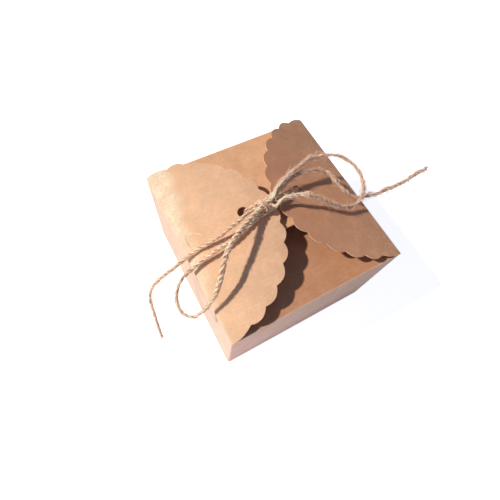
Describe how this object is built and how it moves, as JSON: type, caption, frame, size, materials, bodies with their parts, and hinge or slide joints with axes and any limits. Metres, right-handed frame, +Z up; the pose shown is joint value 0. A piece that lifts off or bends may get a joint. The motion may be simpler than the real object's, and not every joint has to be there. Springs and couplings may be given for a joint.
{
  "type": "kraft gift box",
  "caption": "Square kraft card gift box whose scalloped petals and inner flaps fold open once the jute twine bow is lifted off.",
  "frame": {"origin": "centre of the base, on the surface that the box stands on", "axes": "+Z up; the petals' creases lie along Y at -X and +X; the inner flaps' creases lie along X at -Y, the front, and +Y, the back"},
  "size_m": [0.159, 0.09, 0.0819],
  "materials": {
    "kraft_card_outside": "matt kraft card, fine fibres",
    "kraft_card_inside": "matt kraft card, darker",
    "jute_twine": "two-ply jute, hairy"
  },
  "bodies": {
    "box": {"wall_front": "kraft_card_outside", "wall_right": "kraft_card_outside", "wall_back": "kraft_card_outside", "wall_left": "kraft_card_outside", "seam_tab": "kraft_card_inside", "bottom_flap_back": "kraft_card_inside", "bottom_flap_front": "kraft_card_inside", "bottom_flap_left": "kraft_card_inside", "bottom_flap_right": "kraft_card_inside"},
    "petal_left": {"petal_left": "kraft_card_outside"},
    "petal_right": {"petal_right": "kraft_card_outside"},
    "inner_flap_front": {"inner_flap_front": "kraft_card_inside"},
    "inner_flap_back": {"inner_flap_back": "kraft_card_inside"},
    "twine": {"twine_knot": "jute_twine", "twine_tail_left": "jute_twine", "twine_loop_left": "jute_twine", "twine_loop_right": "jute_twine", "twine_tail_right": "jute_twine", "twine_band": "jute_twine"}
  },
  "joints": [
    {"name": "petal_left_fold", "type": "hinge", "parent": "box", "child": "petal_left", "pos_m": [-0.04475, 0, 0.05975], "axis": [0, -1, 0], "range_deg": [0, 160]},
    {"name": "petal_right_fold", "type": "hinge", "parent": "box", "child": "petal_right", "pos_m": [0.04475, 0, 0.05975], "axis": [0, 1, 0], "range_deg": [0, 160]},
    {"name": "inner_flap_front_fold", "type": "hinge", "parent": "box", "child": "inner_flap_front", "pos_m": [0, -0.04475, 0.05975], "axis": [1, 0, 0], "range_deg": [0, 96]},
    {"name": "inner_flap_back_fold", "type": "hinge", "parent": "box", "child": "inner_flap_back", "pos_m": [0, 0.04475, 0.05975], "axis": [-1, 0, 0], "range_deg": [0, 96]},
    {"name": "twine_lift", "type": "slide", "parent": "box", "child": "twine", "axis": [0, 0, 1], "range_m": [0, 0.19], "deforming": ["twine_band"]}
  ],
  "couplings": [
    {"joint": "petal_right_fold", "follows": "petal_left_fold", "ratio": 1},
    {"joint": "inner_flap_front_fold", "follows": "petal_left_fold", "ratio": 0.6},
    {"joint": "inner_flap_back_fold", "follows": "petal_left_fold", "ratio": 0.6},
    {"joint": "twine_lift", "follows": "petal_left_fold", "m_per_rad": 0.068}
  ]
}
